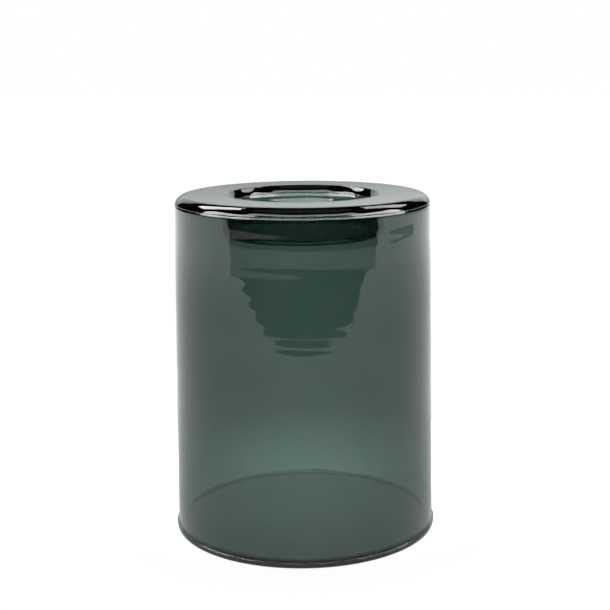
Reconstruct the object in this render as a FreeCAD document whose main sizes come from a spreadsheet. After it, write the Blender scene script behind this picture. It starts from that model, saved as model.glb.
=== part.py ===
import FreeCAD, Part
import Sketcher
import math
import os

# A blown glass cylinder vase.  The straight body closes over at the top into a flat
# ring, and the ring's inner edge turns down into a short open neck that hangs inside.
# Four pieces of glass are fused edge to edge: base, wall, top ring and neck.
# Origin: middle of the resting face.  +Z is the axis of the vase.  Millimetres.

SIZES = {
    # body
    "total_height": (160.0, "from the resting face to the flat top"),
    "top_radius": (60.1, "outside of the wall under the shoulder"),
    "foot_radius": (61.6, "outside of the wall where it stands on the base"),
    "wall_thickness": (2.0, "glass of the wall"),
    # base
    "base_radius": (62.4, "widest line of the base, slightly proud of the wall"),
    "base_thickness": (2.6, "glass of the floor"),
    "base_lower_round": (0.8, "rounding of the base's resting edge"),
    "base_upper_round": (0.3, "rounding of the base's upper edge"),
    "heel_radius": (1.3, "hollow fillet between the floor and the wall"),
    "heel_land": (0.3, "width of the fillet's upper edge"),
    "heel_reach": (59.587, "where the fillet's upper edge meets the inside of the wall"),
    # shoulder and top ring
    "shoulder_round": (5.4, "outer rounding of the shoulder"),
    "corner_round": (3.1, "inner rounding under the shoulder"),
    "ring_thickness": (3.5, "glass of the flat top"),
    "seam_height": (156.0, "joint round the shoulder where the ring meets the wall"),
    "seam_radius": (59.915, "outside of the joint, on the shoulder's rounding"),
    "seam_bore": (56.688, "inside of the joint, on the inner rounding"),
    # lip of the mouth: a tight edge, a narrow slope, then a long easy turn down into the neck
    "lip_start": (36.354, "inner edge of the flat top"),
    "edge_round": (1.2, "tight rounding at that edge"),
    "slope_radius": (35.435, "outer edge of the narrow slope below it"),
    "slope_height": (159.571, "height of that edge"),
    "turn_radius": (34.638, "where the slope passes into the long turn"),
    "turn_height": (158.621, "height of that line"),
    "lip_round": (7.0, "radius of the long turn"),
    "lip_seam": (33.416, "inside of the joint where the ring meets the neck"),
    # neck
    "mouth_radius": (33.0, "bore at the top of the neck"),
    "lip_end_height": (154.122, "where the long turn runs into the bore"),
    "neck_radius": (38.3, "outside of the neck at its root"),
    "root_round": (1.5, "hollow rounding from the ring's underside into the neck"),
    "neck_end_height": (140.0, "free end of the neck"),
    "bead_middle": (34.8, "centre line of the rounded free end"),
    "bead_round": (3.2, "rounding of the free end"),
    "waist_radius": (31.627, "bore where the rounded end runs into the neck"),
    "waist_height": (143.615, "height of that line"),
}

SHEET = "dims"
FULL_TURN = 360.0
ORIGIN = -1
START, END = 1, 2
LEFT, RIGHT = 1.0, -1.0

RING_UNDERSIDE = "total_height - ring_thickness"
HEEL_TOP = "base_thickness + heel_radius"


def make_sheet(doc):
    """Writes every driving size into the sheet, with its name and its meaning."""
    sheet = doc.addObject("Spreadsheet::Sheet", SHEET)
    for row, (name, (value, meaning)) in enumerate(SIZES.items(), start=1):
        sheet.set(f"A{row}", name)
        sheet.set(f"B{row}", str(value))
        sheet.set(f"C{row}", meaning)
        sheet.setAlias(f"B{row}", name)
    doc.recompute()


def amount(terms):
    """The value of a sum of sizes, such as "top_radius - wall_thickness"."""
    total = 0.0
    sign = 1.0
    for word in terms.split():
        if word in "+-":
            sign = 1.0 if word == "+" else -1.0
        elif word != "zero":
            total += sign * SIZES[word][0]
    return total


def formula(terms):
    """The same sum as an expression on the sheet's cells."""
    return " ".join(w if w in "+-" else f"{SHEET}.{w}" for w in terms.split())


def bind(sketch, name, constraint, terms):
    """Adds a dimension to a sketch and ties it to the sheet."""
    index = sketch.addConstraint(constraint)
    sketch.renameConstraint(index, name)
    if terms != "zero":
        sketch.setExpression(f".Constraints.{name}", formula(terms))


def add_line(sketch, start, end):
    """A straight edge.  Gives its number and the ends it starts and finishes at."""
    return sketch.addGeometry(Part.LineSegment(start, end), False), START, END


def add_arc(sketch, start, end, radius, side):
    """A round edge of less than half a turn, with its centre left or right of the way it runs."""
    chord = end - start
    across = FreeCAD.Vector(-chord.y, chord.x, 0).normalize()
    reach = math.sqrt(max(radius**2 - (chord.Length / 2) ** 2, 0.0))
    centre = (start + end) / 2 + across * (side * reach)
    angles = [math.atan2(p.y - centre.y, p.x - centre.x) for p in (start, end)]
    if side == RIGHT:
        angles.reverse()
    if angles[1] < angles[0]:
        angles[1] += 2.0 * math.pi
    circle = Part.Circle(centre, FreeCAD.Vector(0, 0, 1), radius)
    number = sketch.addGeometry(Part.ArcOfCircle(circle, *angles), False)
    return (number, START, END) if side == LEFT else (number, END, START)


def draw_outline(sketch, outline):
    """Draws a closed outline.  Each row holds a corner's radius and height and, for a round
    edge from that corner to the next, the rounding's radius and the side of its centre."""
    count = len(outline)
    points = [FreeCAD.Vector(amount(row[0]), amount(row[1]), 0) for row in outline]
    edges = []
    for i, row in enumerate(outline):
        start, end = points[i], points[(i + 1) % count]
        if len(row) == 2:
            edges.append(add_line(sketch, start, end))
        else:
            edges.append(add_arc(sketch, start, end, amount(row[2]), row[3]))
    for i, (number, _, last) in enumerate(edges):
        following, first, _ = edges[(i + 1) % count]
        sketch.addConstraint(Sketcher.Constraint("Coincident", number, last, following, first))
    for (number, first, _), row in zip(edges, outline):
        radius, height = amount(row[0]), amount(row[1])
        across = Sketcher.Constraint("DistanceX", ORIGIN, START, number, first, radius)
        bind(sketch, f"radius_{number}", across, row[0])
        up = Sketcher.Constraint("DistanceY", ORIGIN, START, number, first, height)
        bind(sketch, f"height_{number}", up, row[1])
        if len(row) > 2:
            bind(sketch, f"round_{number}", Sketcher.Constraint("Radius", number, amount(row[2])), row[2])


def turned_piece(doc, label, outline):
    """A piece of glass turned about the vase's axis."""
    body = doc.addObject("PartDesign::Body", label)
    body.Label = label
    plane = [o for o in body.Origin.OriginFeatures if o.Role == "XZ_Plane"][0]
    sketch = body.newObject("Sketcher::SketchObject", f"{label}_outline")
    sketch.AttachmentSupport = (plane, [""])
    sketch.MapMode = "FlatFace"
    draw_outline(sketch, outline)
    doc.recompute()
    turned = body.newObject("PartDesign::Revolution", f"{label}_turned")
    turned.Profile = sketch
    turned.ReferenceAxis = (sketch, ["V_Axis"])
    turned.Angle = FULL_TURN
    body.Tip = turned
    body.Placement = FreeCAD.Placement()
    doc.recompute()
    return body


def base_disc(doc):
    """The flat floor with its rounded rim and the fillet that runs up inside the wall."""
    outline = [
        ("zero", "zero"),
        ("base_radius - base_lower_round", "zero", "base_lower_round", LEFT),
        ("base_radius", "base_lower_round"),
        ("base_radius", "base_thickness - base_upper_round", "base_upper_round", LEFT),
        ("base_radius - base_upper_round", "base_thickness"),
        ("foot_radius - wall_thickness", "base_thickness"),
        ("heel_reach", HEEL_TOP),
        ("heel_reach - heel_land", HEEL_TOP, "heel_radius", RIGHT),
        ("heel_reach - heel_land - heel_radius", "base_thickness"),
        ("zero", "base_thickness"),
    ]
    return turned_piece(doc, "base_disc", outline)


def cylinder_wall(doc):
    """The body, widening very slightly to the foot and starting to turn in at the shoulder."""
    inner_turn = f"{RING_UNDERSIDE} - corner_round"
    outline = [
        ("foot_radius", "base_thickness"),
        ("top_radius", "total_height - shoulder_round", "shoulder_round", LEFT),
        ("seam_radius", "seam_height"),
        ("seam_bore", "seam_height", "corner_round", RIGHT),
        ("top_radius - wall_thickness", inner_turn),
        ("foot_radius - wall_thickness", "base_thickness"),
    ]
    return turned_piece(doc, "cylinder_wall", outline)


def top_ring(doc):
    """The flat top with the shoulder's rounding outside and the edge of the mouth inside."""
    outline = [
        ("seam_radius", "seam_height", "shoulder_round", LEFT),
        ("top_radius - shoulder_round", "total_height"),
        ("lip_start", "total_height", "edge_round", LEFT),
        ("slope_radius", "slope_height"),
        ("turn_radius", "turn_height", "lip_round", LEFT),
        ("lip_seam", RING_UNDERSIDE),
        ("top_radius - wall_thickness - corner_round", RING_UNDERSIDE, "corner_round", RIGHT),
        ("seam_bore", "seam_height"),
    ]
    return turned_piece(doc, "top_ring", outline)


def neck_collar(doc):
    """The short open neck that hangs from the ring's underside, with a fire-polished round end."""
    bead_outside = "bead_middle + bead_round"
    bead_level = "neck_end_height + bead_round"
    outline = [
        ("neck_radius + root_round", RING_UNDERSIDE, "root_round", LEFT),
        ("neck_radius", f"{RING_UNDERSIDE} - root_round"),
        (bead_outside, bead_level, "bead_round", RIGHT),
        ("bead_middle", "neck_end_height", "bead_round", RIGHT),
        ("waist_radius", "waist_height"),
        ("mouth_radius", "lip_end_height", "lip_round", RIGHT),
        ("lip_seam", RING_UNDERSIDE),
    ]
    return turned_piece(doc, "neck_collar", outline)


def check(doc, pieces):
    """Stops if any object failed or any piece isn't one good solid."""
    for item in doc.Objects:
        if "Invalid" in item.State or "Error" in item.State:
            raise RuntimeError(f"{item.Label} failed: {item.State}")
    for piece in pieces:
        shape = piece.Shape
        if shape.isNull() or not shape.isValid() or len(shape.Solids) != 1:
            raise RuntimeError(f"{piece.Label} isn't one valid solid")
        print(f"{piece.Label}: {shape.Volume:.0f} mm3, {len(shape.Faces)} faces")


def main():
    doc = FreeCAD.newDocument("cylinder_vase")
    make_sheet(doc)
    pieces = [base_disc(doc), cylinder_wall(doc), top_ring(doc), neck_collar(doc)]
    doc.recompute()
    check(doc, pieces)
    os.makedirs("parts", exist_ok=True)
    for piece in pieces:
        piece.Shape.exportStep(f"parts/{piece.Label}.step")


main()
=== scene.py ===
import math
import random

import bmesh
import bpy
from mathutils import Matrix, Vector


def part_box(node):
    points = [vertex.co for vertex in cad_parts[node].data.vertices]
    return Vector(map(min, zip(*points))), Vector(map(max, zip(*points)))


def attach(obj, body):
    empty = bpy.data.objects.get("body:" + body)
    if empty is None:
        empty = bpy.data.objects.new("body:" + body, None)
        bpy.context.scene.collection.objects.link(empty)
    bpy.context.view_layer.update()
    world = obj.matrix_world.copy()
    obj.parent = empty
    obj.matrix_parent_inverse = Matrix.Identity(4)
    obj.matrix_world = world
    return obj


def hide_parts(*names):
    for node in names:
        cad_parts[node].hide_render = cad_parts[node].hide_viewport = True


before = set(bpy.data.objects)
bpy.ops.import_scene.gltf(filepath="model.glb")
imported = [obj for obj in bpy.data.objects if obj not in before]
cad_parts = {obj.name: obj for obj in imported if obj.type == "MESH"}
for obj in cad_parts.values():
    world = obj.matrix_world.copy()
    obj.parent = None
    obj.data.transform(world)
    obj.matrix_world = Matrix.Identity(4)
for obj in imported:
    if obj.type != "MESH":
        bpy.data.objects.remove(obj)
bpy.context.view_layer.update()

# A blown glass cylinder vase.  Its four regions of glass are closed skins turned about the
# vase's axis, which is +Z, and each lies just inside its solid.  Metres and degrees.

# ---------------------------------------------------------------- sizes
MM = 0.001
BASE_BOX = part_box("base_disc")
WALL_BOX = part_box("cylinder_wall")
RING_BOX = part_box("top_ring")
NECK_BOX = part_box("neck_collar")

# body
HEIGHT = RING_BOX[1].z
TOP_RADIUS = 60.1 * MM  # outside of the wall under the shoulder
FOOT_RADIUS = WALL_BOX[1].x
WALL_GLASS = 2.0 * MM

# base
BASE_RADIUS = BASE_BOX[1].x
BASE_GLASS = WALL_BOX[0].z
BASE_LOWER_ROUND = 0.8 * MM
BASE_UPPER_ROUND = 0.3 * MM
HEEL_ROUND = 1.3 * MM  # hollow fillet between the floor and the wall
HEEL_LAND = 0.3 * MM  # width of the fillet's upper edge

# shoulder and top ring
SHOULDER_ROUND = 5.4 * MM
CORNER_ROUND = 3.1 * MM  # inner rounding under the shoulder
RING_GLASS = 3.5 * MM
SEAM_HEIGHT = WALL_BOX[1].z  # joint round the shoulder, where the ring meets the wall

# lip of the mouth: a tight edge, a narrow slope, then a long turn down into the bore
EDGE_ROUND = 1.2 * MM
EDGE_SLOPE = 1.24 * MM
EDGE_TURN = 40.0  # how far up the slope faces
LIP_ROUND = 7.0 * MM
MOUTH_RADIUS = 33.0 * MM

# neck
ROOT_ROUND = 1.5 * MM  # hollow rounding from the ring's underside into the neck
NECK_RADIUS = NECK_BOX[1].x - ROOT_ROUND
NECK_END = NECK_BOX[0].z
BEAD_MIDDLE = 34.8 * MM  # centre line of the rounded free end
BEAD_ROUND = 3.2 * MM
WAIST_ANGLE = 172.55  # where the bore leaves the bead's rounding

# skins
SKIN = 0.04 * MM  # the visual glass lies this far inside the solids
JOINT_GAP = 0.02 * MM
SAME_POINT = 0.001 * MM  # points closer together than this are one
AXIS_ZONE = 0.01 * MM  # a row narrower than this is one point on the axis
RIPPLED_RADIUS = TOP_RADIUS - SKIN - 0.1 * MM  # rows wider than this are outer skin, which is rippled

TURNS = 320
ROW_STEP = 0.7 * MM
FLOOR_STEP = 3 * ROW_STEP
ARC_STEPS = 18
SMALL_ARC_STEPS = 8
JOINT_ARC_STEPS = 6


# ---------------------------------------------------------------- outlines
def straight(start, end, step=ROW_STEP):
    """Points from start up to, but not including, end."""
    count = max(1, round(math.dist(start, end) / step))
    return [
        (start[0] + (end[0] - start[0]) * i / count, start[1] + (end[1] - start[1]) * i / count)
        for i in range(count)
    ]


def rounded(centre, radius, first, last, steps=ARC_STEPS):
    """Points on an arc from the first angle to the last, both included."""
    points = []
    for i in range(steps + 1):
        angle = math.radians(first + (last - first) * i / steps)
        points.append((centre[0] + radius * math.cos(angle), centre[1] + radius * math.sin(angle)))
    return points


def joined(*parts):
    """One closed outline from stretches of points, with doubled points left out."""
    points = [p for part in parts for p in part]
    return [p for p, q in zip(points, points[1:] + points[:1]) if math.dist(p, q) > SAME_POINT]


def base_outline():
    """The flat floor, its rounded rim and the fillet that runs up inside the wall."""
    low = SKIN
    top = BASE_GLASS - JOINT_GAP
    wide = BASE_RADIUS - SKIN
    seat = FOOT_RADIUS - WALL_GLASS - SKIN
    heel_centre = (seat - HEEL_LAND - HEEL_ROUND, BASE_GLASS + HEEL_ROUND)
    return [
        *straight((0.0, low), (wide - BASE_LOWER_ROUND, low), FLOOR_STEP),
        *rounded((wide - BASE_LOWER_ROUND, low + BASE_LOWER_ROUND), BASE_LOWER_ROUND, -90, 0),
        *rounded((wide - BASE_UPPER_ROUND, top - BASE_UPPER_ROUND), BASE_UPPER_ROUND, 0, 90),
        (seat + JOINT_GAP, top),
        (seat - JOINT_GAP, heel_centre[1]),
        *rounded(heel_centre, HEEL_ROUND, 0, -90),
        (0.0, BASE_GLASS),
    ]


def shoulder_angle():
    """Where the joint round the shoulder lies on its outer rounding."""
    return math.degrees(math.asin((SEAM_HEIGHT - HEIGHT + SHOULDER_ROUND) / SHOULDER_ROUND))


def corner_angle():
    """Where the same joint lies on the inner rounding."""
    return math.degrees(math.asin((SEAM_HEIGHT - HEIGHT + RING_GLASS + CORNER_ROUND) / CORNER_ROUND))


def wall_outline():
    """The body, widening very slightly to the foot and starting to turn in at the shoulder."""
    bottom = BASE_GLASS + JOINT_GAP
    joint = SEAM_HEIGHT - JOINT_GAP
    outer_centre = (TOP_RADIUS - SKIN - SHOULDER_ROUND, HEIGHT - SHOULDER_ROUND)
    inner_centre = (TOP_RADIUS - WALL_GLASS - CORNER_ROUND, HEIGHT - RING_GLASS - CORNER_ROUND)
    outer = rounded(outer_centre, SHOULDER_ROUND, 0, shoulder_angle(), JOINT_ARC_STEPS)
    inner = rounded(inner_centre, CORNER_ROUND, corner_angle(), 0, SMALL_ARC_STEPS)
    return joined(
        straight((FOOT_RADIUS - SKIN, bottom), outer[0]),
        outer[:-1],
        [(outer[-1][0], joint), (inner[0][0], joint)],
        inner[1:],
        straight(inner[-1], (FOOT_RADIUS - WALL_GLASS, bottom))[1:],
        [(FOOT_RADIUS - WALL_GLASS, bottom)],
    )


def lip_turn():
    """Middle of the long turn that carries the lip down into the bore."""
    turn = math.radians(EDGE_TURN)
    drop = EDGE_ROUND * (1 - math.sin(turn)) + EDGE_SLOPE * math.cos(turn) + LIP_ROUND * math.sin(turn)
    return MOUTH_RADIUS + LIP_ROUND, HEIGHT - SKIN - drop


def lip_edge():
    """Middle of the tight rounding at the inner edge of the flat top."""
    turn = math.radians(EDGE_TURN)
    across = (LIP_ROUND - EDGE_ROUND) * math.cos(turn) - EDGE_SLOPE * math.sin(turn)
    return lip_turn()[0] - across, HEIGHT - SKIN - EDGE_ROUND


def lip_joint_angle():
    """Where the joint between ring and neck lies on the long turn."""
    return 180 - math.degrees(math.asin((NECK_BOX[1].z - lip_turn()[1]) / LIP_ROUND))


def ring_outline():
    """The flat top, with the shoulder's rounding outside and the lip of the mouth inside."""
    top = HEIGHT - SKIN
    under = HEIGHT - RING_GLASS
    joint = SEAM_HEIGHT + JOINT_GAP
    neck_joint = NECK_BOX[1].z + JOINT_GAP
    shoulder = (TOP_RADIUS - SKIN - SHOULDER_ROUND, top - SHOULDER_ROUND)
    corner = (TOP_RADIUS - WALL_GLASS - CORNER_ROUND, under - CORNER_ROUND)
    outer = rounded(shoulder, SHOULDER_ROUND, shoulder_angle(), 90)
    inner = rounded(corner, CORNER_ROUND, 90, corner_angle(), SMALL_ARC_STEPS)
    edge = rounded(lip_edge(), EDGE_ROUND, 90, 180 - EDGE_TURN)
    turn = rounded(lip_turn(), LIP_ROUND, 180 - EDGE_TURN, lip_joint_angle())
    return joined(
        [(outer[0][0], joint)],
        outer[1:],
        straight(outer[-1], edge[0])[1:],
        edge,
        turn[:-1],
        [(turn[-1][0], neck_joint)],
        straight((NECK_RADIUS + ROOT_ROUND, neck_joint), inner[0]),
        inner[:-1],
        [(inner[-1][0], joint)],
    )


def neck_outline():
    """The short open neck that hangs from the ring's underside, with a thick rounded end."""
    top = NECK_BOX[1].z - JOINT_GAP
    root = rounded((NECK_RADIUS + ROOT_ROUND, top - ROOT_ROUND), ROOT_ROUND, 90, 180, SMALL_ARC_STEPS)
    bead = (BEAD_MIDDLE, NECK_END + BEAD_ROUND + SKIN)
    end = rounded(bead, BEAD_ROUND - SKIN, 0, WAIST_ANGLE - 360, 2 * ARC_STEPS)
    turn = rounded(lip_turn(), LIP_ROUND, 180, lip_joint_angle(), JOINT_ARC_STEPS)
    return joined(
        root[:-1],
        straight(root[-1], end[0]),
        end,
        straight(end[-1], turn[0])[1:],
        turn[:-1],
        [(turn[-1][0], top)],
    )


# ---------------------------------------------------------------- hand-worked surface
RIPPLES = random.Random(11)
WANDER_TURNS = (-3, -2, -1, 1, 2, 3)  # how often a ring may wander up and down round the vase
WANDER_LEAST = 0.3
WANDER_MOST = 1.6


def ripple_set(count, finest, broadest, tilt):
    """Rings of shallow waves, which together tilt the skin by about the given angle.  Each row
    holds how fine the rings are, their height, their phase, and how often and far they wander."""
    waves = []
    for _ in range(count):
        pitch = RIPPLES.uniform(finest, broadest)
        height = math.tan(math.radians(tilt)) * pitch / (2 * math.pi) / math.sqrt(count)
        turns = RIPPLES.choice(WANDER_TURNS)
        phase = RIPPLES.uniform(0, 2 * math.pi)
        wander = RIPPLES.uniform(WANDER_LEAST, WANDER_MOST)
        waves.append((2 * math.pi / pitch, height, phase, turns, wander))
    return waves


FINE_RINGS = ripple_set(count=5, finest=4.5 * MM, broadest=9.0 * MM, tilt=0.30)
BROAD_RINGS = ripple_set(count=3, finest=18 * MM, broadest=45 * MM, tilt=0.25)


def swell(angle, height):
    """How far the outer skin stands out at a place, or in where it is negative."""
    total = 0.0
    for rate, size, phase, turns, wander in (*FINE_RINGS, *BROAD_RINGS):
        total += size * math.sin(rate * height + phase + wander * math.sin(turns * angle + phase))
    return total


# tiny bubbles in the wall: angle from the front, then height and radius in millimetres
BUBBLES = (
    (-39.6, 145.7, 0.34),
    (-23.2, 143.2, 0.30),
    (-17.9, 128.5, 0.26),
    (10.9, 143.0, 0.28),
    (78.0, 130.0, 0.36),
)
BUBBLE_DETAIL = 2


def add_bubbles(bm):
    """Small closed hollows half way through the wall's glass."""
    for angle, height, size in BUBBLES:
        turn = math.radians(angle)
        lean = (FOOT_RADIUS - TOP_RADIUS) * (1 - height * MM / HEIGHT)
        reach = TOP_RADIUS + lean - WALL_GLASS / 2
        place = Matrix.Translation((reach * math.sin(turn), -reach * math.cos(turn), height * MM))
        made = bmesh.ops.create_icosphere(bm, subdivisions=BUBBLE_DETAIL, radius=size * MM, matrix=place)
        hollow = {face for vert in made["verts"] for face in vert.link_faces}
        bmesh.ops.reverse_faces(bm, faces=list(hollow))


def add_row(bm, radius, height):
    """One row of points round the axis, or a single point on it."""
    if radius < AXIS_ZONE:
        return [bm.verts.new((0.0, 0.0, height))]
    rippled = 1.0 if radius > RIPPLED_RADIUS else 0.0
    row = []
    for k in range(TURNS):
        angle = 2 * math.pi * k / TURNS
        reach = radius + rippled * swell(angle, height)
        row.append(bm.verts.new((reach * math.sin(angle), -reach * math.cos(angle), height)))
    return row


def fill_between(bm, row, following):
    """The skin between two rows, either of which may be a point on the axis."""
    for k in range(TURNS):
        n = (k + 1) % TURNS
        if len(row) == 1:
            bm.faces.new((row[0], following[n], following[k]))
        elif len(following) == 1:
            bm.faces.new((row[k], row[n], following[0]))
        else:
            bm.faces.new((row[k], row[n], following[n], following[k]))


def turned_mesh(name, outline, on_axis=False, bubbles=False):
    """A closed piece of glass turned about the axis, with its outer skin gently rippled."""
    bm = bmesh.new()
    rows = [add_row(bm, radius, height) for radius, height in outline]
    pairs = list(zip(rows, rows[1:]))
    if not on_axis:
        pairs.append((rows[-1], rows[0]))
    for row, following in pairs:
        fill_between(bm, row, following)
    bmesh.ops.recalc_face_normals(bm, faces=bm.faces)
    if bubbles:
        add_bubbles(bm)
    for face in bm.faces:
        face.smooth = True
    mesh = bpy.data.meshes.new(name)
    bm.to_mesh(mesh)
    bm.free()
    piece = bpy.data.objects.new(name, mesh)
    bpy.context.scene.collection.objects.link(piece)
    return piece


# ---------------------------------------------------------------- glass
REFRACTION = 1.51
GREENER = (0.90, 0.97, 0.94, 1.0)
GREYER = (1.0, 0.985, 0.995, 1.0)
MIX_FACTOR, MIX_ONE, MIX_OTHER, MIX_RESULT = 0, 6, 7, 2  # colour sockets of the mix node

# light taken away per metre of glass, red to blue
WALL_ABSORB = (832.0, 678.0, 727.0)
BASE_ABSORB = (560.0, 470.0, 500.0)
RING_ABSORB = (700.0, 560.0, 610.0)
NECK_ABSORB = (298.0, 244.0, 266.0)


def node(tree, kind, **values):
    """A node with some of its inputs set."""
    made = tree.nodes.new(kind)
    for key, value in values.items():
        made.inputs[key.replace("_", " ")].default_value = value
    return made


def ramp(tree, value, start, end, low, high):
    """A value carried from one range to another, held at both ends."""
    step = tree.nodes.new("ShaderNodeMapRange")
    for name, amount in (("From Min", start), ("From Max", end), ("To Min", low), ("To Max", high)):
        step.inputs[name].default_value = amount
    tree.links.new(value, step.inputs["Value"])
    return step.outputs["Result"]


def add_film(tree, place, shader):
    """Polished nearly everywhere, with a faint film in patches."""
    film = node(tree, "ShaderNodeTexNoise", Scale=38.0, Detail=5.0, Roughness=0.6)
    tree.links.new(place, film.inputs["Vector"])
    patches = ramp(tree, film.outputs["Fac"], start=0.45, end=0.8, low=0.0, high=0.05)
    tree.links.new(patches, shader.inputs["Roughness"])


def add_clouds(tree, place, shader):
    """Faint clouds of slightly greener and slightly greyer tint."""
    clouds = node(tree, "ShaderNodeTexNoise", Scale=55.0, Detail=4.0, Roughness=0.55)
    tree.links.new(place, clouds.inputs["Vector"])
    tint = tree.nodes.new("ShaderNodeMix")
    tint.data_type = "RGBA"
    tint.inputs[MIX_ONE].default_value = GREENER
    tint.inputs[MIX_OTHER].default_value = GREYER
    contrast = ramp(tree, clouds.outputs["Fac"], start=0.38, end=0.62, low=0.0, high=1.0)
    tree.links.new(contrast, tint.inputs[MIX_FACTOR])
    tree.links.new(tint.outputs[MIX_RESULT], shader.inputs["Base Color"])


def add_waves(tree, place, shader, scale, depth):
    """Soft unevenness of the skin, which stirs what the glass mirrors."""
    waves = node(tree, "ShaderNodeTexNoise", Scale=scale, Detail=2.0, Roughness=0.4)
    tree.links.new(place, waves.inputs["Vector"])
    bump = node(tree, "ShaderNodeBump", Strength=1.0, Distance=depth)
    tree.links.new(waves.outputs["Fac"], bump.inputs["Height"])
    tree.links.new(bump.outputs["Normal"], shader.inputs["Normal"])


def add_depth(tree, output, absorb):
    """Colour that comes from the depth of glass the light passes through."""
    strongest = max(absorb)
    depth = tree.nodes.new("ShaderNodeVolumeAbsorption")
    depth.inputs["Density"].default_value = strongest
    depth.inputs["Color"].default_value = (*[1.0 - a / strongest for a in absorb], 1.0)
    tree.links.new(depth.outputs["Volume"], output.inputs["Volume"])


def smoke_glass(name, absorb, wave_scale, wave_depth):
    """Clear polished glass, coloured through its depth."""
    material = bpy.data.materials.new(name)
    material.use_nodes = True
    tree = material.node_tree
    shader = tree.nodes["Principled BSDF"]
    shader.inputs["Transmission Weight"].default_value = 1.0
    shader.inputs["IOR"].default_value = REFRACTION
    shader.inputs["Specular IOR Level"].default_value = 0.5
    place = tree.nodes.new("ShaderNodeTexCoord").outputs["Object"]
    add_film(tree, place, shader)
    add_clouds(tree, place, shader)
    add_waves(tree, place, shader, wave_scale, wave_depth)
    add_depth(tree, tree.nodes["Material Output"], absorb)
    return material


def finished(piece, material, replaced):
    """Gives a piece of glass its material and its place in the frame."""
    piece.data.materials.append(material)
    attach(piece, "root")
    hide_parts(replaced)


wall_glass = smoke_glass("wall_smoke", WALL_ABSORB, wave_scale=60.0, wave_depth=0.004 * MM)
base_glass = smoke_glass("base_smoke", BASE_ABSORB, wave_scale=90.0, wave_depth=0.01 * MM)
ring_glass = smoke_glass("ring_smoke", RING_ABSORB, wave_scale=45.0, wave_depth=0.02 * MM)
neck_glass = smoke_glass("neck_smoke", NECK_ABSORB, wave_scale=90.0, wave_depth=0.02 * MM)

base = turned_mesh("glass_base", base_outline(), on_axis=True)
finished(base, base_glass, "base_disc")
wall = turned_mesh("glass_wall", wall_outline(), bubbles=True)
finished(wall, wall_glass, "cylinder_wall")
ring = turned_mesh("glass_top_ring", ring_outline())
finished(ring, ring_glass, "top_ring")
neck = turned_mesh("glass_neck", neck_outline())
finished(neck, neck_glass, "neck_collar")


# ---------------------------------------------------------------- studio cards
# The vase stands on a white card.  Every other card shows only in the glass: mirrored by it,
# or for the dark ceiling also seen through it.
FLOOR_HALF = 6.0
FLOOR_DROP = 0.3 * MM  # the white card lies this far under the base
FLOOR_GREY = 0.25
FLOOR_LIGHT = 0.8
# painted pool of light on the floor: its strength, how far behind the vase it lies, and its reach
PAINTED_POOL_LIGHT = 1.6  # extra light of the floor behind the vase
PAINTED_POOL_BEHIND = 0.065
PAINTED_POOL_REACH = 0.13

CARD_STEP = 4  # degrees between the points of a bent card
FEWEST_STEPS = 2


def stage_mesh(name, corners, faces, material):
    """A card that isn't part of the vase."""
    mesh = bpy.data.meshes.new(name)
    mesh.from_pydata([tuple(c) for c in corners], [], faces)
    card = bpy.data.objects.new(name, mesh)
    bpy.context.scene.collection.objects.link(card)
    card.data.materials.append(material)
    return card


def only_in_glass(card, mirrored_only=True):
    """The card shows only where glass mirrors it, or bends the view to it."""
    card.visible_camera = False
    card.visible_diffuse = False
    card.visible_transmission = not mirrored_only
    card.visible_volume_scatter = False
    card.visible_shadow = False
    card.visible_glossy = True


def flat_card(name, places, height, material):
    """A flat card at one height, seen only in the glass."""
    corners = [(x, y, height) for x, y in places]
    only_in_glass(stage_mesh(name, corners, [(0, 1, 2, 3)], material))


def strip_faces(count):
    """Faces between two edges of a card that hold count points each."""
    return [(i, i + 1, count + i + 1, count + i) for i in range(count - 1)]


def around(radius, angle, height):
    """A place at an angle from the front of the studio, positive to the right."""
    turn = math.radians(angle)
    return (radius * math.sin(turn), -radius * math.cos(turn), height)


def curved_card(name, first, last, low_edge, high_edge, material, mirrored_only=True):
    """A card bent round the vase between two angles.  Each edge is its (radius, height)."""
    steps = max(FEWEST_STEPS, round(abs(last - first) / CARD_STEP))
    angles = [first + (last - first) * i / steps for i in range(steps + 1)]
    corners = [around(low_edge[0], a, low_edge[1]) for a in angles]
    corners += [around(high_edge[0], a, high_edge[1]) for a in angles]
    card = stage_mesh(name, corners, strip_faces(len(angles)), material)
    only_in_glass(card, mirrored_only)


# ---------------------------------------------------------------- studio paints
def glow(name, colour, strength):
    """A card that gives off even light."""
    material = bpy.data.materials.new(name)
    material.use_nodes = True
    tree = material.node_tree
    tree.nodes.clear()
    light = node(tree, "ShaderNodeEmission", Strength=strength)
    light.inputs["Color"].default_value = (*colour, 1.0)
    output = tree.nodes.new("ShaderNodeOutputMaterial")
    tree.links.new(light.outputs[0], output.inputs["Surface"])
    return material


def combine(tree, how, one, other):
    """Two values put together by a maths node."""
    result = tree.nodes.new("ShaderNodeMath")
    result.operation = how
    tree.links.new(one, result.inputs[0])
    tree.links.new(other, result.inputs[1])
    return result.outputs["Value"]


def places(tree):
    """How far a place lies across, back, up, and away from the middle of the vase's foot."""
    place = tree.nodes.new("ShaderNodeTexCoord")
    parts = tree.nodes.new("ShaderNodeSeparateXYZ")
    reach = tree.nodes.new("ShaderNodeVectorMath")
    reach.operation = "LENGTH"
    tree.links.new(place.outputs["Object"], parts.inputs["Vector"])
    tree.links.new(place.outputs["Object"], reach.inputs[0])
    return parts.outputs["X"], parts.outputs["Y"], parts.outputs["Z"], reach.outputs["Value"]


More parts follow.
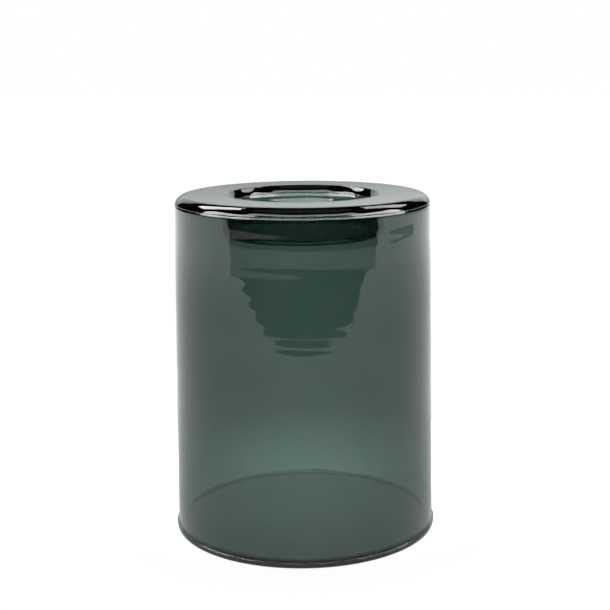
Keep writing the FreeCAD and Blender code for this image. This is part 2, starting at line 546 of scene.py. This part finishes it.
def floor_paint():
    """White card, lit mostly of itself so that it stays white, and brightest just behind the vase, where a
    pool of light is painted on it.
    """
    material = bpy.data.materials.new("studio_floor")
    material.use_nodes = True
    tree = material.node_tree
    tree.nodes.clear()
    card = node(tree, "ShaderNodeBsdfDiffuse")
    card.inputs["Color"].default_value = (FLOOR_GREY, FLOOR_GREY, FLOOR_GREY, 1.0)
    place = tree.nodes.new("ShaderNodeTexCoord")
    centre = tree.nodes.new("ShaderNodeMapping")
    centre.inputs["Location"].default_value = (0.0, -PAINTED_POOL_BEHIND / PAINTED_POOL_REACH, 0.0)
    centre.inputs["Scale"].default_value = [1.0 / PAINTED_POOL_REACH] * 3
    # painted pool of light: extra glow in a round patch just behind the vase
    painted_pool = tree.nodes.new("ShaderNodeTexGradient")
    painted_pool.gradient_type = "SPHERICAL"
    strength = tree.nodes.new("ShaderNodeMath")
    strength.operation = "MULTIPLY_ADD"
    strength.inputs[1].default_value = PAINTED_POOL_LIGHT
    strength.inputs[2].default_value = FLOOR_LIGHT
    light = node(tree, "ShaderNodeEmission")
    both = tree.nodes.new("ShaderNodeAddShader")
    output = tree.nodes.new("ShaderNodeOutputMaterial")
    tree.links.new(place.outputs["Object"], centre.inputs["Vector"])
    tree.links.new(centre.outputs["Vector"], painted_pool.inputs["Vector"])
    tree.links.new(painted_pool.outputs["Fac"], strength.inputs[0])
    tree.links.new(strength.outputs["Value"], light.inputs["Strength"])
    tree.links.new(card.outputs[0], both.inputs[0])
    tree.links.new(light.outputs[0], both.inputs[1])
    tree.links.new(both.outputs[0], output.inputs["Surface"])
    return material


def backdrop_paint():
    """Dim at the foot, brighter above, and a little brighter to the right."""
    material = glow("backdrop", (0.93, 1.0, 0.97), 1.0)
    tree = material.node_tree
    x, _, z, _ = places(tree)
    rise = ramp(tree, z, start=0.37, end=0.43, low=0.55, high=0.95)
    across = ramp(tree, x, start=0.0, end=0.45, low=0.98, high=1.24)
    strength = combine(tree, "MULTIPLY", rise, across)
    tree.links.new(strength, tree.nodes["Emission"].inputs["Strength"])
    return material


def mirrored_floor_paint():
    """The table as the glass mirrors it: shaded close beside and behind the vase, brighter far off."""
    material = glow("mirrored_floor", (0.98, 1.02, 1.01), 1.0)
    tree = material.node_tree
    _, y, _, reach = places(tree)
    close = ramp(tree, reach, start=0.062, end=0.25, low=0.3, high=0.0)
    beside = ramp(tree, y, start=-0.10, end=0.02, low=0.0, high=1.0)
    far = ramp(tree, reach, start=0.60, end=1.0, low=1.0, high=1.5)
    strength = combine(tree, "SUBTRACT", far, combine(tree, "MULTIPLY", close, beside))
    tree.links.new(strength, tree.nodes["Emission"].inputs["Strength"])
    return material


WHITE = (1.0, 1.0, 1.0)
NEAR_BLACK = (0.012, 0.014, 0.014)
GREEN_WHITE = (0.86, 1.0, 0.94)
PANEL_GREEN = (0.7, 1.0, 0.9)
SHADE_GREEN = (0.55, 0.85, 0.72)

# ---------------------------------------------------------------- table and floor
floor_corners = [
    (-FLOOR_HALF, -FLOOR_HALF, -FLOOR_DROP),
    (FLOOR_HALF, -FLOOR_HALF, -FLOOR_DROP),
    (FLOOR_HALF, FLOOR_HALF, -FLOOR_DROP),
    (-FLOOR_HALF, FLOOR_HALF, -FLOOR_DROP),
]
stage_mesh("studio_floor", floor_corners, [(0, 1, 2, 3)], floor_paint())

dark = glow("dark_room", NEAR_BLACK, 1.0)
shade = glow("floor_shade", SHADE_GREEN, 1.0)
dim = glow("dim_floor", WHITE, 0.6)
faint = glow("faint_panel", PANEL_GREEN, 0.22)
white = glow("pale_rim", WHITE, 1.0)
window = glow("window", WHITE, 11.0)
strip = glow("strip_light", GREEN_WHITE, 6.0)
high_strip = glow("high_strip", GREEN_WHITE, 5.0)

# each card lies a little above the one it covers
MIRROR_LEVEL = 0.5 * MM
DARK_LEVEL = 1.0 * MM
PALE_LEVEL = 2 * MM
RIM_LEVEL = 3 * MM
MARK_LEVEL = 4 * MM

MIRROR_INNER = 0.063  # the mirrored table starts just outside the base
MIRROR_OUTER = 2.1
TABLE_EDGE = -0.475  # front edge of the table
PALE_SPREAD = 64  # the paler floor in front reaches this far to each side
PALE_INNER = 0.87
PALE_OUTER = 1.13

RIM_HALF = 0.3
RIM_STEPS = 15
RIM_NEAR = -0.530
RIM_NEAR_BEND = 1.35
RIM_FAR = -0.536
RIM_FAR_BEND = 0.76


def rim_of_light():
    """A thin pale line in front of the table's edge, which bends back towards both its ends."""
    near, far = [], []
    for i in range(-RIM_STEPS, RIM_STEPS + 1):
        x = RIM_HALF * i / RIM_STEPS
        near.append((x, RIM_NEAR + RIM_NEAR_BEND * x * x, RIM_LEVEL))
        far.append((x, RIM_FAR + RIM_FAR_BEND * x * x, RIM_LEVEL))
    only_in_glass(stage_mesh("pale_rim", near + far, strip_faces(len(near)), white))


mirror_edges = [(MIRROR_INNER, MIRROR_LEVEL), (MIRROR_OUTER, MIRROR_LEVEL)]
curved_card("mirrored_floor", -180, 180, *mirror_edges, mirrored_floor_paint())

# beyond the front edge of the table: dark, then paler floor, then dark again
beyond = [
    (-FLOOR_HALF, -FLOOR_HALF),
    (FLOOR_HALF, -FLOOR_HALF),
    (FLOOR_HALF, TABLE_EDGE),
    (-FLOOR_HALF, TABLE_EDGE),
]
flat_card("dark_beyond_table", beyond, DARK_LEVEL, dark)
pale_edges = [(PALE_INNER, PALE_LEVEL), (PALE_OUTER, PALE_LEVEL)]
curved_card("pale_floor", -PALE_SPREAD, PALE_SPREAD, *pale_edges, dim)
rim_of_light()

# ---------------------------------------------------------------- room
CEILING = 1.2
PANEL_LEVEL = CEILING - 3 * MM
LIGHT_LEVEL = CEILING - 5 * MM
WINDOW_HEAD = CEILING - 6 * MM

ROOM_RADIUS = 2.2
CEILING_RADIUS = 2.6
PANEL_RADIUS = 0.45
BACKDROP_RADIUS = 2.1
BACKDROP_START = 149  # the backdrop closes the room behind the vase from this angle on
BACKDROP_TOP = CEILING + 0.1

LIGHT_RADIUS = 2.0  # the front strip and the windows stand this far from the vase
STRIP_FOOT = 0.22
STRIP_HEAD = 1.1
WINDOW_START = 46
WINDOW_END = 100
WINDOW_SILL = 0.20
WINDOW_HEAD_RADIUS = 1.42  # each window runs on under the ceiling, as far in as this

HIGH_STRIP_SPREAD = 60
HIGH_STRIP_INNER = 0.80
HIGH_STRIP_OUTER = 1.38

# softboxes under the ceiling, behind the vase on both sides: corners of the right one
SOFTBOX = ((0.30, 0.88), (0.54, 0.25), (1.38, 0.64), (1.14, 1.12))
SOFTBOX_LEFT = 9.5
SOFTBOX_RIGHT = 5.0

curved_card("dark_ceiling", -180, 180, (0.0, CEILING), (CEILING_RADIUS, CEILING), dark, False)
curved_card("overhead_panel", -180, 180, (0.0, PANEL_LEVEL), (PANEL_RADIUS, PANEL_LEVEL), faint)
curved_card("dark_wall", -BACKDROP_START, BACKDROP_START, (ROOM_RADIUS, 0.0), (ROOM_RADIUS, CEILING), dark)

backdrop_edges = [(BACKDROP_RADIUS, 0.0), (BACKDROP_RADIUS, BACKDROP_TOP)]
curved_card("rear_backdrop", BACKDROP_START, 360 - BACKDROP_START, *backdrop_edges, backdrop_paint())

strip_edges = [(LIGHT_RADIUS, STRIP_FOOT), (LIGHT_RADIUS, STRIP_HEAD)]
curved_card("front_strip", -WINDOW_START, WINDOW_START, *strip_edges, strip)

pane_edges = [(LIGHT_RADIUS, WINDOW_SILL), (LIGHT_RADIUS, WINDOW_HEAD)]
head_edges = [(WINDOW_HEAD_RADIUS, WINDOW_HEAD), (LIGHT_RADIUS, WINDOW_HEAD)]
for side, label in ((-1, "left"), (1, "right")):
    curved_card(f"window_{label}", side * WINDOW_START, side * WINDOW_END, *pane_edges, window)
    curved_card(f"window_{label}_head", side * WINDOW_START, side * WINDOW_END, *head_edges, window)

high_edges = [(HIGH_STRIP_INNER, LIGHT_LEVEL), (HIGH_STRIP_OUTER, LIGHT_LEVEL)]
curved_card("high_strip", -HIGH_STRIP_SPREAD, HIGH_STRIP_SPREAD, *high_edges, high_strip)

# two shaded marks on the floor to the right: first and last angle, inner and outer radius
FLOOR_MARKS = (("near", 80, 112, 1.08, 1.13), ("far", 96, 145, 1.22, 1.28))
for label, first, last, inner, outer in FLOOR_MARKS:
    curved_card(f"floor_mark_{label}", first, last, (inner, MARK_LEVEL), (outer, MARK_LEVEL), shade)

for side, label, strength in ((-1, "left", SOFTBOX_LEFT), (1, "right", SOFTBOX_RIGHT)):
    softbox = glow(f"softbox_{label}", WHITE, strength)
    flat_card(f"softbox_{label}", [(side * x, y) for x, y in SOFTBOX], LIGHT_LEVEL, softbox)

world = bpy.data.worlds.new("studio")
world.use_nodes = True
background = world.node_tree.nodes["Background"]
background.inputs["Color"].default_value = (*WHITE, 1.0)
background.inputs["Strength"].default_value = 1.0
bpy.context.scene.world = world

# ---------------------------------------------------------------- camera
EYE_DISTANCE = 0.5874
EYE_HEIGHT = 0.2273
LOOK_DOWN = 9.5
LOOK_ASIDE = 1.5  # the lens points to the right of the vase, and is shifted back over it
ROLL = 0.35
SENSOR_MM = 36.0
LENS_MM = 74.15
SHIFT_ACROSS = -0.0502
SHIFT_UP = -0.0776
GLASS_BOUNCES = 32
OTHER_BOUNCES = 16

camera_data = bpy.data.cameras.new("camera")
camera_data.sensor_width = SENSOR_MM
camera_data.lens = LENS_MM
camera_data.shift_x = SHIFT_ACROSS
camera_data.shift_y = SHIFT_UP
camera_data.dof.use_dof = False
camera = bpy.data.objects.new("camera", camera_data)
camera.location = (0.0, -EYE_DISTANCE, EYE_HEIGHT)
aside = Matrix.Rotation(math.radians(-LOOK_ASIDE), 4, "Z")
down = Matrix.Rotation(math.radians(90.0 - LOOK_DOWN), 4, "X")
roll = Matrix.Rotation(math.radians(-ROLL), 4, "Z")
camera.rotation_euler = (aside @ down @ roll).to_euler()
bpy.context.scene.collection.objects.link(camera)
bpy.context.scene.camera = camera

scene = bpy.context.scene
scene.view_settings.view_transform = "Standard"
scene.cycles.max_bounces = GLASS_BOUNCES
scene.cycles.transmission_bounces = GLASS_BOUNCES
scene.cycles.glossy_bounces = OTHER_BOUNCES
scene.cycles.transparent_max_bounces = OTHER_BOUNCES
